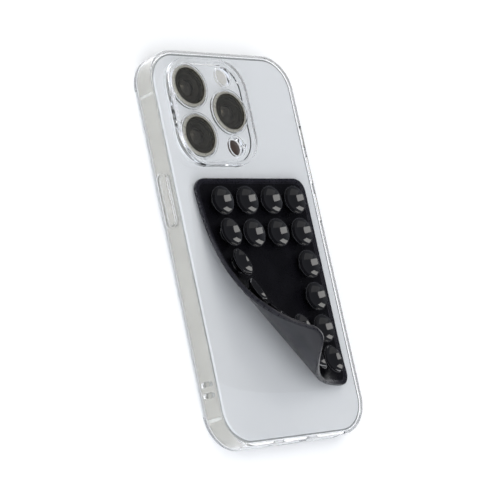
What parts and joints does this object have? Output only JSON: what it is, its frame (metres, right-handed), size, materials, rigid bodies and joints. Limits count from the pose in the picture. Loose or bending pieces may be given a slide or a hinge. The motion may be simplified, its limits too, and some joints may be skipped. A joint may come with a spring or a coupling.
{
  "type": "suction cup phone case",
  "caption": "Clear phone case on a phone, with a glued sheet of small suction cups on its back; one corner of the sheet is peeled up and curled over.",
  "frame": {"origin": "middle of the footprint, on the plane of the case's front lip", "axes": "+Z out of the case's back, where the cups point; +Y towards the camera end; +X to the right when the back is looked at"},
  "size_m": [0.0748, 0.1498, 0.0405],
  "materials": {
    "clear_case": "clear, glossy",
    "suction_mat": "satin black silicone",
    "adhesive_film": "smooth dark grey film",
    "phone_frame": "satin",
    "antenna_bands": "matt",
    "back_glass": "frosted, opaque",
    "front_glass": "gloss, black",
    "display_panel": "gloss",
    "charging_port": "satin",
    "end_screws": "bright",
    "speaker_mesh": "matt",
    "flash_lens": "diffusing",
    "rangefinder_window": "gloss, dark",
    "front_elements": "coated",
    "lens_ring": "polished",
    "lens_window": "gloss",
    "barrel": "matt",
    "button_metal": "satin"
  },
  "bodies": {
    "phone_in_case": {"clear_case": "clear_case", "suction_mat": "suction_mat", "adhesive_film": "adhesive_film", "phone_frame": "phone_frame", "antenna_bands": "antenna_bands", "back_glass": "back_glass", "front_glass": "front_glass", "display_panel": "display_panel", "charging_port": "charging_port", "end_screws": "end_screws", "speaker_mesh": "speaker_mesh", "flash_lens": "flash_lens", "rangefinder_window": "rangefinder_window", "front_elements": "front_elements", "lens_ring_upper": "lens_ring", "lens_window_upper": "lens_window", "barrel_upper": "barrel", "lens_ring_lower": "lens_ring", "lens_window_lower": "lens_window", "barrel_lower": "barrel", "lens_ring_inner": "lens_ring", "lens_window_inner": "lens_window", "barrel_inner": "barrel"},
    "side_button": {"side_button": "button_metal"},
    "volume_up_button": {"volume_up_button": "button_metal"},
    "volume_down_button": {"volume_down_button": "button_metal"},
    "silent_switch": {"silent_switch": "button_metal"}
  },
  "joints": [
    {"name": "side_button_press", "type": "slide", "parent": "phone_in_case", "child": "side_button", "axis": [1, 0, 0], "range_m": [0, 0.00025], "stiffness_N_per_m": 1500, "springref_m": -0.0005},
    {"name": "volume_up_press", "type": "slide", "parent": "phone_in_case", "child": "volume_up_button", "axis": [-1, 0, 0], "range_m": [0, 0.00025], "stiffness_N_per_m": 1500, "springref_m": -0.0005},
    {"name": "volume_down_press", "type": "slide", "parent": "phone_in_case", "child": "volume_down_button", "axis": [-1, 0, 0], "range_m": [0, 0.00025], "stiffness_N_per_m": 1500, "springref_m": -0.0005},
    {"name": "silent_switch_slide", "type": "slide", "parent": "phone_in_case", "child": "silent_switch", "axis": [0, 0, 1], "range_m": [0, 0.0011]}
  ]
}
